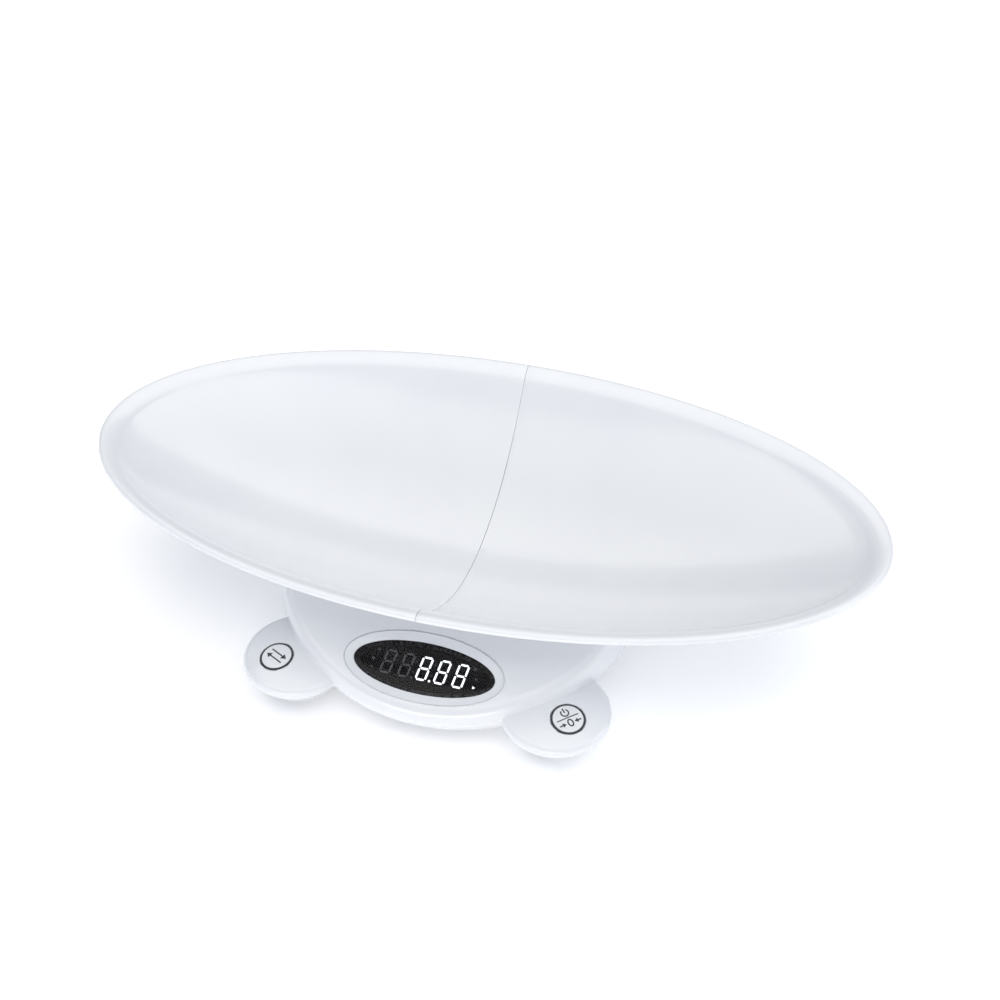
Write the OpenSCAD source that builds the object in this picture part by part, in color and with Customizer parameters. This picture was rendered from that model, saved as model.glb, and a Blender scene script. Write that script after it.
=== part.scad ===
// Digital baby weighing scale: an oval tray in two lift-off halves on a round base with four
// pods. The display sits in the sloping front of the base, the two buttons in the front pods.
// Millimetres. +X runs along the tray, +Y to the back, +Z up. The table is at z = 0.

/* [Tray] */
// Length of the weighing tray
tray_l = 600; // [540:10:640]
// Width of the weighing tray
tray_w = 298; // [286:2:310]
// Height of the tray's rim above the table
rim_h = 103; // [101:1:114]
// Depth of the bowl below the rim
bowl_depth = 73; // [65:1:74]
// How flat the bowl is: 1.2 is nearly round-bottomed, 2 is nearly a parabola
bowl_span = 1.5; // [1.3:0.05:2]
// Wall of the tray
tray_wall = 2.8; // [2.2:0.1:2.8]
// Width of the flared lip that runs round the rim
lip_w = 17; // [15:0.5:19]
// Radius of the lip's outer edge
lip_r = 3; // [2.9:0.1:3.4]
// Height of the lip's turned-down edge
lip_h = 3.4; // [3.4:0.1:6]
// How far the lip falls from its crown to the bowl
lip_fall = 8; // [7:0.5:9]
// Gap of the seam between the two halves
seam_gap = 0.4; // [0.2:0.1:0.8]

/* [Tray posts] */
// Diameter of the posts under the tray
post_d = 16; // [12:1:18]
// Gap round a post in its well
post_gap = 0.4; // [0.3:0.1:0.8]
// Height above the table at which the posts stand in their wells
post_seat_h = 21; // [20:0.5:23]
// Distance of the inner posts from the seam
post_x = 44; // [42:1:48]
// Distance of the outer posts from the seam
post_out_x = 99; // [92:1:101]
// Distance of the front posts in front of the tray's centre
post_front = 70; // [64:1:76]
// Distance of the back posts behind the tray's centre
post_back = 57; // [52:1:60]

/* [Base] */
// Diameter of the round base
base_d = 268; // [262:1:276]
// How far the base's centre lies in front of the tray's centre
base_fwd = 43; // [38:1:48]
// Height of the base's underside above the table
base_gap = 7; // [6:0.5:8]
// Wall of the base's housings
base_wall = 2.5; // [2:0.1:3]
// Width of the base's rounded lower edge
edge_w = 24; // [18:1:26]
// Height of the base's rounded lower edge
edge_h = 40; // [34:1:42]
// Height above the table at which the two housings part
parting_h = 10.5; // [10:0.1:11.5]
// Gap between the tray's belly and its cradle in the base
cradle_gap = 2.5; // [2:0.1:3.5]

/* [Fascia] */
// Slope of the fascia that carries the display, in degrees
fascia_slope = 21; // [18:0.5:23]
// Distance of the display's centre in from the base's front edge
window_in = 39; // [37:0.5:42]
// Height of the fascia above the table at the display's centre
fascia_h = 43; // [41:0.5:45]
// Radius of the disc that ends the fascia
fascia_r = 140; // [138:0.5:143]
// Radius of the roll at the fascia's front edge
nose_r = 13; // [10:0.5:15]

/* [Pods] */
// How far a pod reaches in from the base's edge
pod_bite = 38.5; // [37:0.5:40]
// Diameter of a pod
pod_d = 77; // [75:1:80]
// Height of a pod's top above the table
pod_h = 36.5; // [36:0.1:38]
// Radius of a pod's domed top
pod_dome_r = 120; // [110:5:160]
// Radius of a pod's rounded edge
pod_edge_r = 5; // [4:0.5:6]
// Steepness of a pod's underside, in degrees
pod_under = 53; // [50:1:58]

/* [Display] */
// Length of the oval window
window_l = 102; // [98:0.5:104]
// Width of the oval window
window_w = 37.5; // [37:0.5:39]
// Thickness of the window
window_t = 2; // [1.5:0.1:2.4]
// Width of the moat round the window
moat_w = 5.7; // [4:0.1:6]
// Depth of the window's face below the fascia
moat_depth = 1.3; // [1:0.1:1.6]
// Width of the ledge that carries the window
ledge_w = 3; // [2:0.2:4]
// Thickness of the ledge that carries the window
ledge_t = 1.5; // [1.2:0.1:2]
// Height of a digit
digit_h = 17.9; // [16:0.1:19]
// Width of a digit
digit_w = 8; // [7:0.1:9]
// Distance from one digit to the next
digit_pitch = 13.1; // [12.5:0.1:13.6]
// Width of a digit's strokes
stroke_w = 1.3; // [0.8:0.1:1.6]
// Lean of the digits, in degrees
digit_lean = 6; // [0:1:10]
// How far the digits sit above the window's centre
digit_up = 0.6; // [0:0.1:1.5]

/* [Buttons] */
// Distance of a button from its pod's centre
button_out = 15.6; // [14:0.1:17]
// Diameter of a button with its dark ring
button_d = 23.7; // [21:0.1:25]
// Width of the dark ring
ring_w = 1.3; // [1:0.1:1.8]
// Depth of the dark ring
ring_t = 0.8; // [0.6:0.1:1.2]
// Gap round a button in its hole
button_gap = 0.3; // [0.2:0.05:0.5]
// Travel of a button
button_travel = 0.8; // [0.5:0.1:0.9]
// Thickness of a button's face
cap_t = 2; // [1.6:0.1:2.4]

/* [Feet] */
// Distance of a foot's centre in from its pod's centre
foot_in = 9; // [7:0.5:11]
// Diameter of a foot
foot_d = 30; // [26:1:31]
// Thickness of a foot's rubber pad
pad_t = 2; // [1.5:0.1:3]
// Gap round a foot in its opening
foot_gap = 0.8; // [0.6:0.1:1.2]
// Diameter of a foot's stem
stem_d = 10; // [8:0.5:11]
// Side of a square load cell
cell_w = 34; // [32:0.5:36]
// Thickness of a load cell
cell_t = 3; // [2:0.1:3.5]
// Height of a load cell's underside above the table
cell_h = 12.5; // [12:0.1:13.5]

/* [Power] */
// Diameter of a battery
battery_d = 10.5; // [10:0.1:10.5]
// Length of a battery
battery_l = 44.5; // [44:0.1:44.6]
// Distance from one battery to the next
battery_pitch = 11.2; // [11:0.1:11.4]
// Length of a battery spring
spring_l = 4.5; // [3.5:0.1:5]
// Distance of the battery bay's centre in from the base's back edge
bay_in = 54; // [53:0.5:55]

/* [Hidden] */

$fn = 96;
eps = 0.01;
over = 1;

// Places along Y: the part's origin lies under the middle of its outline
base_r = base_d / 2;
window_fwd = base_r - window_in;
pod_r = pod_d / 2;
pod_reach = base_r + pod_r - pod_bite;
pod_side = pod_reach / sqrt(2);
front_reach = base_fwd + pod_side + pod_r;
tray_y = (front_reach - tray_w / 2) / 2;
base_y = tray_y - base_fwd;

// The bowl is part of an oval ball: its plan and its height. A ring hugs it from below.
bowl_a = tray_l / 2 - lip_w;
bowl_b = tray_w / 2 - lip_w;
ball_h = (bowl_depth - lip_fall) / (1 - sqrt(1 - 1 / pow(bowl_span, 2)));
belly_reach = base_r;
belly_across_reach = 100;
belly_along_r = arc_r(belly_reach, bowl_rise(belly_reach / bowl_a));
belly_across_r = arc_r(belly_across_reach, bowl_rise(belly_across_reach / bowl_b));
belly_fn = 240;
bowl_rings = 11;
crown_rings = 5;
edge_rings = 4;
half_steps = 40;

// The base's form
form_top = rim_h;
floor_mid = base_gap + base_wall / 2;
edge_step = 15;
dome_bands = 3;
rim_bands = 4;
pod_ball_z = pod_h - pod_dome_r;
pod_tube_r = pod_r - pod_edge_r;
pod_tube_z = pod_ball_z + sqrt(pow(pod_dome_r - pod_edge_r, 2) - pow(pod_tube_r, 2));
pod_turn = asin(pod_tube_r / (pod_dome_r - pod_edge_r));
pod_last = 180 - pod_under;
pod_foot_r = pod_tube_r + pod_edge_r * sin(pod_last)
    - (pod_tube_z + pod_edge_r * cos(pod_last) - base_gap) / tan(pod_under);
puck_back = window_fwd / cos(fascia_slope);
puck_deep = base_d;

// The wells that take the tray's posts
well_r = post_d / 2 + post_gap;
well_wall = 2;
well_floor = 2;
post_places = [[post_x, -post_front], [post_x, post_back], [post_out_x, -8]];

// The window and the display under it
window_top = -moat_depth;
window_low = window_top - window_t;
ledge_low = window_low - ledge_t;
window_fit = 0.15;
frame_rim = 3;
module_l = 96;
module_w = 36;
module_t = 5;
module_gap = 0.5;
digit_t = 0.2;
digit_gap = 0.1;
digit_top = window_low - digit_gap;
module_low = ledge_low - module_t;
board_t = 1.6;
display_board_l = 108;
display_board_w = 38;
display_post_x = 51;
display_post_y = 15.5;
digit_count = 5;
lit_first = 2;
bar_gap = 0.45;
dot_d = 1.6;
small_dot_d = 1;
colon_h = 3.9;
mark_spots = [[0.9, 35, 4], [0.79, 3, 6], [0.86, -25, 3]];
mark_r = 1.2;

// The buttons, along the axis that leaves the dome's centre
button_tilt = asin(button_out / pod_dome_r);
button_r = button_d / 2;
dome_fn = 360;
bore_r = button_r + button_gap;
roof_low = pod_dome_r - base_wall;
guide_r = bore_r + 1.4;
guide_wall = 1.3;
guide_low = roof_low - 5;
flange_t = 1;
flange_r = guide_r - button_gap;
flange_top = roof_low - 0.1;
skirt_wall = 1.2;
button_stem_r = 2.2;
plunger_r = 1.7;
plunger_gap = 0.2;
switch_w = 6;
switch_h = 3.5;
plunger_in = 1.1;
stop_gap = 0.1;
switch_board_top = roof_low - 7.5;
switch_top = switch_board_top + switch_h;
plunger_top = switch_top + button_travel + stop_gap;
switch_board_t = 1.2;
switch_board_l = 40;
switch_board_w = 12;
switch_post_y = 16.5;

// Feet and load cells
foot_r = foot_d / 2;
foot_reach = pod_reach - foot_in;
foot_hole_r = foot_r + foot_gap;
foot_in_h = 1;
foot_top = base_gap + foot_in_h;
pad_inset = 1;
cell_slot = 1.6;
tongue_rim = 2;
tongue_w = stem_d + 2 * tongue_rim;
cell_post_in = 4;
cell_post = cell_w / 2 - cell_post_in;
cell_post_r = 2.4;
ring_wall = 1.5;

// Screws
screw_r = 1.5;
screw_head_r = 3;
screw_head_t = 2;
screw_l = 14;
screw_fit = 0.02;
screw_gap = 0.2;
head_gap = 0.4;
head_seat = base_gap + 1;
boss_r = 4.2;
boss_top = base_gap + 6.5;
// How far in from the base's edge each boss stands, and its turn from +X
boss_spots = [[34, -50], [30, 0], [42, 50]];
boss_places = [for (spot = boss_spots) (base_r - spot[0]) * [cos(spot[1]), sin(spot[1])]];
small_screw_r = 1;
small_head_r = 1.9;
small_head_t = 1.2;
small_screw_l = 5;
small_gap = 0.1;
small_boss_r = 2.3;
small_bore = 4;

// Main board
main_l = 58;
main_w = 48;
main_h = 14;
main_fwd = 19;
main_y = base_y - main_fwd;
main_post_in = 4;
main_post_r = 3;
main_post_x = main_l / 2 - main_post_in;
main_post_y = main_w / 2 - main_post_in;
chip_w = 12;
chip_t = 1.8;
plug_w = 4;
plug_h = 4;
plug_in = 3;
side_plug_l = 18;
display_plug_l = 20;
battery_plug_l = 8;

// Battery bay and its door
door_t = 2;
door_gap = 0.25;
rail_t = 0.9;
rail_w = 1.5;
plate_t = 0.4;
plate_w = 8.4;
spring_foot_r = 3.6;
spring_tip_r = 2.4;
nub_r = 2.2;
nub_t = 0.8;
battery_count = 4;
bay_play = 0.4;
bay_l = battery_l + spring_l + 2 * plate_t + bay_play;
bay_w = battery_count * battery_pitch + 2 * bay_play;
bay_wall = 1.5;
bay_y = base_y + base_r - bay_in;
bay_floor = base_gap + door_t + bay_play;
battery_gap = 0.3;
battery_z = bay_floor + battery_d / 2;
bay_roof = battery_z + battery_d / 2 + battery_gap;
door_inset = 1;
door_tail = 8;
door_half = bay_l / 2 - door_inset;
door_front = bay_y - bay_w / 2;
door_back = bay_y + bay_w / 2 + door_tail;

// Leads
lead_r = 0.8;
lead_sides = 8;
lead_gap = 0.5;
lead_step = 2;
lead_out = 3;
plug_rest = main_h + board_t + plug_h + lead_r + small_gap;
plug_side = main_h + board_t + plug_h / 2;
lead_z = base_gap + base_wall + lead_r + screw_gap;
lead_end_x = main_l / 2 - plug_in + plug_w / 2 + lead_gap;
lead_rise_x = main_l / 2 + lead_out;
cell_edge = foot_reach - cell_w / 2 - lead_gap;
cell_bend = 25;
button_bend = 6;
button_bend_z = cell_h + cell_t + 4;
ribbon_r = 0.66;
ribbon_pitch = 1.6;
ribbon_drop = 6;

// ---- shared shapes -------------------------------------------------------------------------

// Height of the bowl's inside above its lowest point, s = 0 in the middle, 1 at the lip
function bowl_rise(s) = ball_h * (1 - sqrt(1 - pow(s / bowl_span, 2)));
// Radius of the arc that rises by some height over some reach
function arc_r(reach, rise) = (pow(reach, 2) + pow(rise, 2)) / (2 * rise);
// Steepness of the bowl's inside across the tray
function bowl_steep(s) = ball_h * s / pow(bowl_span, 2) / sqrt(1 - pow(s / bowl_span, 2)) / bowl_b;

// One tray section as pairs of points, top and underside: [share of the bowl, outwards, height]
function bowl_pair(s) =
    let (z = rim_h - bowl_depth + bowl_rise(s))
    [[s, 0, z], [s, 0, z - tray_wall * sqrt(1 + pow(bowl_steep(s), 2))]];
function crown_pair(f) =
    let (mid = lip_w - lip_r, z = rim_h - lip_fall * pow(1 - f, 2),
         steep = 2 * lip_fall * (1 - f) / mid)
    [[1, f * mid, z], [1, f * mid, z - tray_wall * sqrt(1 + pow(steep, 2))]];
function edge_pair(turn) =
    let (mid = lip_w - lip_r, inner = lip_r - tray_wall)
    [[1, mid + lip_r * sin(turn), rim_h - lip_r + lip_r * cos(turn)],
     [1, mid + inner * sin(turn), rim_h - lip_r + inner * cos(turn)]];
tray_section = concat(
    [for (i = [1 : bowl_rings]) bowl_pair(i / bowl_rings)],
    [for (i = [1 : crown_rings]) crown_pair(i / crown_rings)],
    [for (i = [1 : edge_rings]) edge_pair(90 * i / edge_rings)],
    [[[1, lip_w, rim_h - lip_h], [1, lip_w - tray_wall, rim_h - lip_h]]]
);

// A point of the right-hand half: the section point p, turned t degrees round the oval
function tray_point(p, t) =
    let (a = bowl_a * p[0] + p[1], b = bowl_b * p[0] + p[1], cut = seam_gap / 2)
    [cut + (a - cut) * cos(t), tray_y + b * sin(t), p[2]];

// The right-hand half of the tray's skin
module tray_skin() {
    rings = len(tray_section);
    row = half_steps + 1;
    middle = bowl_pair(0);
    function at(side, ring, step) = 2 + (side * rings + ring) * row + step;
    points = concat(
        [for (side = [0, 1]) tray_point(middle[side], 0) - [tray_point(middle[side], 0)[0]
            - seam_gap / 2, 0, 0]],
        [for (side = [0, 1]) for (pair = tray_section) for (i = [0 : half_steps])
            tray_point(pair[side], -90 + 180 * i / half_steps)]
    );
    faces = concat(
        [for (i = [0 : half_steps - 1]) [0, at(0, 0, i + 1), at(0, 0, i)]],
        [for (i = [0 : half_steps - 1]) [1, at(1, 0, i), at(1, 0, i + 1)]],
        [for (k = [0 : rings - 2]) for (i = [0 : half_steps - 1])
            [at(0, k, i), at(0, k, i + 1), at(0, k + 1, i + 1), at(0, k + 1, i)]],
        [for (k = [0 : rings - 2]) for (i = [0 : half_steps - 1])
            [at(1, k, i), at(1, k + 1, i), at(1, k + 1, i + 1), at(1, k, i + 1)]],
        [for (i = [0 : half_steps - 1])
            [at(0, rings - 1, i), at(0, rings - 1, i + 1), at(1, rings - 1, i + 1),
             at(1, rings - 1, i)]],
        [[0, at(0, 0, 0), at(1, 0, 0), 1]],
        [[0, 1, at(1, 0, half_steps), at(0, 0, half_steps)]],
        [for (k = [0 : rings - 2])
            [at(0, k, 0), at(0, k + 1, 0), at(1, k + 1, 0), at(1, k, 0)]],
        [for (k = [0 : rings - 2])
            [at(0, k, half_steps), at(1, k, half_steps), at(1, k + 1, half_steps),
             at(0, k + 1, half_steps)]]
    );
    polyhedron(points, faces, convexity = 8);
}

// The underside of a big ring that hugs the bowl's lowest part, grown by some amount all round
module belly(grow)
    translate([0, tray_y, rim_h - bowl_depth + belly_along_r]) rotate([90, 0, 0])
        rotate_extrude($fn = belly_fn)
            translate([belly_along_r - belly_across_r, 0]) circle(r = belly_across_r + grow);

// The round body of the base, w inside its outer face
module drum(w) {
    mid = base_r - edge_w;
    translate([0, base_y, 0])
        rotate_extrude()
            polygon(concat(
                [[0, base_gap + w]],
                [for (a = [0 : edge_step : 90])
                    [mid + (edge_w - w) * sin(a), base_gap + edge_h - (edge_h - w) * cos(a)]],
                [[base_r - w, form_top], [0, form_top]]
            ));
}

// Places children on the fascia: origin at the window's centre, +Z out of the fascia
module on_fascia()
    translate([0, base_y - window_fwd, fascia_h]) rotate([fascia_slope, 0, 0]) children();

// The sloping disc whose flat top is the fascia and whose edge is the rolled nose
module fascia_disc(w)
    on_fascia() translate([0, puck_back, 0])
        rotate_extrude()
            polygon(concat(
                [[0, -puck_deep], [0, -w]],
                [for (a = [0 : edge_step : 90])
                    [fascia_r - nose_r + (nose_r - w) * sin(a), -nose_r + (nose_r - w) * cos(a)]],
                [[fascia_r - w, -puck_deep]]
            ));

// Places children at one corner: origin under the pod's or foot's centre, +X outwards
module at_corner(side, front, reach)
    translate([side * reach / sqrt(2), base_y - front * reach / sqrt(2), 0])
        rotate([0, 0, atan2(-front, side)])
            children();

// A pod: domed top, rounded edge, and an underside that draws in to the foot
module pod(w)
    rotate_extrude()
        polygon(concat(
            [[0, base_gap + w], [0, pod_ball_z + pod_dome_r - w]],
            [for (i = [1 : dome_bands])
                let (a = pod_turn * i / dome_bands)
                [(pod_dome_r - w) * sin(a), pod_ball_z + (pod_dome_r - w) * cos(a)]],
            [for (i = [1 : rim_bands])
                let (a = pod_turn + (pod_last - pod_turn) * i / rim_bands)
                [pod_tube_r + (pod_edge_r - w) * sin(a), pod_tube_z + (pod_edge_r - w) * cos(a)]],
            [[pod_foot_r - w * tan(pod_under / 2), base_gap + w]]
        ));

// The base's outer form, w inside its face: drum under fascia and cradle, with four pods
module base_form(w)
    difference() {
        union() {
            intersection() {
                drum(w);
                fascia_disc(w);
            }
            for (side = [-1, 1]) for (front = [-1, 1])
                at_corner(side, front, pod_reach) pod(w);
        }
        belly(tray_wall + cradle_gap + w);
    }

// The part of that form that matters below the parting line
module lower_form(w) {
    drum(w);
    for (side = [-1, 1]) for (front = [-1, 1]) at_corner(side, front, pod_reach) pod(w);
}

module slab(low, high)
    translate([-base_d, base_y - base_d, low]) cube([2 * base_d, 2 * base_d, high - low]);

// Places children on a button's axis: origin at the dome's centre, +Z out of the button
module on_button(side)
    at_corner(side, 1, pod_reach) translate([0, 0, pod_ball_z]) rotate([0, button_tilt, 0])
        children();

module tube(outer, inner, low, high)
    translate([0, 0, low])
        difference() {
            cylinder(r = outer, h = high - low);
            translate([0, 0, -1]) cylinder(r = inner, h = high - low + 2);
        }

module pin(r, low, high) translate([0, 0, low]) cylinder(r = r, h = high - low);

module block(size, low)
    translate([-size[0] / 2, -size[1] / 2, low]) cube(size);

module oval(l, w, low, high)
    translate([0, 0, low]) scale([l / 2, w / 2, 1]) cylinder(r = 1, h = high - low);

module at_bosses()
    for (side = [-1, 1]) for (p = boss_places)
        translate([side * p[0], base_y + p[1], 0]) children();

module at_posts(side)
    for (p = post_places) translate([side * p[0], tray_y + p[1], 0]) children();

function unit(v) = v / norm(v);
// Way that a route runs at its point i: halfway between the run before and the run after
function way(points, i) =
    unit((i > 0 ? unit(points[i] - points[i - 1]) : [0, 0, 0])
        + (i < len(points) - 1 ? unit(points[i + 1] - points[i]) : [0, 0, 0]));

// A round lead along a route: one ring of points at each of the route's own points
module lead(points, r) {
    count = len(points);
    rings = [for (i = [0 : count - 1])
        let (along = way(points, i), u = unit(cross(along, [0.4, 0.5, 0.8])), v = cross(along, u))
        for (k = [0 : lead_sides - 1])
            let (a = 360 * k / lead_sides) points[i] + r * (cos(a) * u + sin(a) * v)];
    function at(i, k) = i * lead_sides + (k % lead_sides);
    polyhedron(rings, concat(
        [[for (k = [0 : lead_sides - 1]) at(0, k)]],
        [for (i = [0 : count - 2]) for (k = [0 : lead_sides - 1])
            [at(i, k), at(i + 1, k), at(i + 1, k + 1)]],
        [for (i = [0 : count - 2]) for (k = [0 : lead_sides - 1])
            [at(i, k), at(i + 1, k + 1), at(i, k + 1)]],
        [[for (k = [lead_sides - 1 : -1 : 0]) at(count - 1, k)]]
    ), convexity = 6);
}

// ---- tray ----------------------------------------------------------------------------------

module tray_half() {
    tray_skin();
    difference() {
        at_posts(1) pin(post_d / 2, post_seat_h, rim_h - bowl_depth / 2);
        belly(tray_wall / 2);
    }
}

module tray_left() color("white") mirror([1, 0, 0]) tray_half();
module tray_right() color("white") tray_half();

// ---- housings ------------------------------------------------------------------------------

module upper_posts() {
    for (side = [-1, 1]) at_posts(side)
        pin(well_r + well_wall, post_seat_h - well_floor, rim_h);
    at_bosses() pin(boss_r, boss_top, rim_h);
    for (side = [-1, 1]) for (front = [-1, 1])
        at_corner(side, front, foot_reach)
            for (y = [-cell_post, cell_post])
                translate([-y, y, 0]) pin(cell_post_r, cell_h + cell_t, rim_h);
    for (side = [-1, 1]) on_button(side) {
        pin(guide_r + guide_wall, guide_low, pod_dome_r);
        for (y = [-switch_post_y, switch_post_y])
            translate([0, y, 0]) pin(small_boss_r, switch_board_top, pod_dome_r);
    }
    on_fascia() {
        oval(window_l + 2 * (moat_w + frame_rim), window_w + 2 * moat_w, ledge_low, 0);
        for (x = [-display_post_x, display_post_x]) for (y = [-display_post_y, display_post_y])
            translate([x, y, 0]) pin(small_boss_r, module_low, 0);
    }
}

module upper_cuts() {
    for (side = [-1, 1]) at_posts(side) pin(well_r, post_seat_h, rim_h);
    at_bosses() pin(screw_r + screw_fit, 0, boss_top + screw_l);
    for (side = [-1, 1]) on_button(side) {
        pin(bore_r, roof_low - over, pod_dome_r + over);
        pin(guide_r, guide_low - over, roof_low);
        for (y = [-switch_post_y, switch_post_y])
            translate([0, y, 0])
                pin(small_screw_r + screw_fit, switch_board_top - over,
                    switch_board_top + small_bore);
    }
    on_fascia() {
        oval(window_l + 2 * moat_w, window_w + 2 * moat_w, window_top, over);
        oval(window_l + 2 * window_fit, window_w + 2 * window_fit, window_low, over);
        oval(window_l - 2 * ledge_w, window_w - 2 * ledge_w, ledge_low - over, over);
        for (x = [-display_post_x, display_post_x]) for (y = [-display_post_y, display_post_y])
            translate([x, y, 0])
                pin(small_screw_r + screw_fit, module_low - over, module_low + small_bore);
    }
}

module upper_housing()
    color("white")
        difference() {
            base_form(0);
            difference() {
                base_form(base_wall);
                upper_posts();
            }
            slab(-over, parting_h);
            upper_cuts();
        }

module lower_posts() {
    at_bosses() pin(boss_r, floor_mid, boss_top);
    for (side = [-1, 1]) for (front = [-1, 1])
        at_corner(side, front, foot_reach)
            pin(foot_hole_r + ring_wall, floor_mid, cell_h);
    for (x = [-main_post_x, main_post_x]) for (y = [-main_post_y, main_post_y])
        translate([x, main_y + y, 0]) pin(main_post_r, floor_mid, main_h);
    translate([0, bay_y, 0])
        block([bay_l + 2 * bay_wall, bay_w + 2 * bay_wall, bay_roof + bay_wall - floor_mid],
              floor_mid);
}

module lower_cuts() {
    at_bosses() {
        pin(screw_r + screw_gap, 0, boss_top + over);
        pin(screw_head_r + head_gap, 0, head_seat + screw_head_t);
    }
    for (side = [-1, 1]) for (front = [-1, 1])
        at_corner(side, front, foot_reach) pin(foot_hole_r, 0, cell_h + over);
    for (x = [-main_post_x, main_post_x]) for (y = [-main_post_y, main_post_y])
        translate([x, main_y + y, 0])
            pin(small_screw_r + screw_fit, main_h - small_bore, main_h + over);
    translate([0, bay_y, 0]) block([bay_l, bay_w, bay_roof - bay_floor], bay_floor);
    door_slot(door_gap);
}

// The channel that the battery door slides in, or the door itself where gap is 0
module door_slot(gap) {
    back = gap > 0 ? base_r : 0;
    translate([-door_half - gap, door_front - gap, base_gap - gap - eps])
        cube([2 * (door_half + gap), door_back - door_front + gap + back,
              door_t + 2 * gap + (gap > 0 ? 0.2 : eps)]);
    translate([-door_half - rail_w - gap, door_front - gap, base_gap + door_t - rail_t - gap])
        cube([2 * (door_half + rail_w + gap), door_back - door_front + gap + back,
              rail_t + 2 * gap]);
}

module lower_housing()
    color("white")
        difference() {
            union() {
                difference() {
                    lower_form(0);
                    lower_form(base_wall);
                    slab(parting_h, form_top + over);
                }
                lower_posts();
            }
            lower_cuts();
        }

module battery_door()
    color("gainsboro")
        intersection() {
            drum(0);
            door_slot(0);
        }

// ---- display -------------------------------------------------------------------------------

module display_window()
    color("black") on_fascia() oval(window_l, window_w, window_low, window_top);

module display_module()
    color("dimgray") on_fascia() {
        block([module_l, module_w, module_t], module_low);
        oval(window_l - 2 * (ledge_w + module_gap), window_w - 2 * (ledge_w + module_gap),
             ledge_low - eps, digit_top - digit_t);
    }

// One bar of a digit: it ends in points, so that neighbouring bars meet on a slant
module bar(from, to) {
    run = to - from;
    tip = stroke_w / 2;
    long = norm(run) - bar_gap;
    translate(from) rotate([0, 0, atan2(run[1], run[0])])
        polygon([[bar_gap, 0], [bar_gap + tip, tip], [long - tip, tip], [long, 0],
                 [long - tip, -tip], [bar_gap + tip, -tip]]);
}

// A point of the display, moved sideways by the digits' lean
function lean(p) = [p[0] + p[1] * tan(digit_lean), p[1]];

// A seven-bar figure eight, leaning to the right
module eight() {
    w = digit_w / 2 - stroke_w / 2;
    h = digit_h / 2 - stroke_w / 2;
    ends = [[[-w, h], [w, h]], [[-w, 0], [w, 0]], [[-w, -h], [w, -h]],
            [[-w, 0], [-w, h]], [[w, 0], [w, h]], [[-w, -h], [-w, 0]], [[w, -h], [w, 0]]];
    for (e = ends) bar(lean(e[0]), lean(e[1]));
}

function digit_x(i) = (i - (digit_count - 1) / 2) * digit_pitch;

module digit_layer() on_fascia() translate([0, digit_up, digit_top - digit_t])
    linear_extrude(height = digit_t) children();

// A round dot in the gap after digit i, at some height above the digits' middle
module dot(i, h, d)
    translate([digit_x(i) + digit_pitch / 2, 0] + lean([0, h])) circle(d = d, $fn = 24);

// A small plain mark beside the digits, on the left or right side of the module's oval
module mark(side, spot)
    translate([side * spot[0] * (window_l / 2 - ledge_w - module_gap) * cos(spot[1]),
               spot[0] * (window_w / 2 - ledge_w - module_gap) * sin(spot[1]) - digit_up])
        circle(r = mark_r, $fn = spot[2]);

module lit_segments()
    color("white") digit_layer() {
        for (i = [lit_first : digit_count - 1]) translate([digit_x(i), 0]) eight();
        dot(lit_first, dot_d / 2 - digit_h / 2, dot_d);
        mark(1, mark_spots[2]);
    }

module unlit_segments()
    color("dimgray") digit_layer() {
        for (i = [0 : lit_first - 1]) translate([digit_x(i), 0]) eight();
        dot(lit_first - 1, dot_d / 2 - digit_h / 2, dot_d);
        for (i = [lit_first - 1, lit_first]) for (h = [-colon_h, colon_h]) dot(i, h, small_dot_d);
        for (spot = mark_spots) mark(-1, spot);
        for (spot = [mark_spots[0], mark_spots[1]]) mark(1, spot);
    }

module display_board()
    color("darkgreen") on_fascia()
        difference() {
            block([display_board_l, display_board_w, board_t], module_low - board_t);
            for (x = [-display_post_x, display_post_x])
                for (y = [-display_post_y, display_post_y])
                    translate([x, y, 0])
                        pin(small_screw_r + small_gap, module_low - board_t - over, module_low + over);
        }

// ---- buttons -------------------------------------------------------------------------------

module button(side)
    on_button(side) {
        difference() {
            intersection() {
                sphere(r = pod_dome_r, $fn = dome_fn);
                pin(button_r, flange_top - flange_t, pod_dome_r + 1);
            }
            pin(button_r - skirt_wall - ring_w, 0, pod_dome_r - cap_t);
            tube(button_r + 1, button_r - ring_w, pod_dome_r - ring_t - 1, pod_dome_r + 1);
        }
        tube(flange_r, button_r - skirt_wall - ring_w, flange_top - flange_t, flange_top);
        pin(button_stem_r, plunger_top, pod_dome_r - cap_t + eps);
    }

module button_ring(side)
    on_button(side)
        intersection() {
            sphere(r = pod_dome_r, $fn = dome_fn);
            tube(button_r, button_r - ring_w + screw_fit, pod_dome_r - ring_t - 1,
                 pod_dome_r + 1);
        }

module switch(side)
    on_button(side)
        difference() {
            block([switch_w, switch_w, switch_h], switch_board_top);
            pin(plunger_r + plunger_gap, switch_top - plunger_in - button_travel - stop_gap,
                switch_top + 1);
        }

module switch_plunger(side)
    on_button(side) pin(plunger_r, switch_top - plunger_in, plunger_top);

module switch_board(side)
    on_button(side)
        difference() {
            block([switch_board_w, switch_board_l, switch_board_t],
                  switch_board_top - switch_board_t);
            for (y = [-switch_post_y, switch_post_y])
                translate([0, y, 0])
                    pin(small_screw_r + small_gap, switch_board_top - switch_board_t - over,
                        switch_board_top + over);
        }

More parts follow.
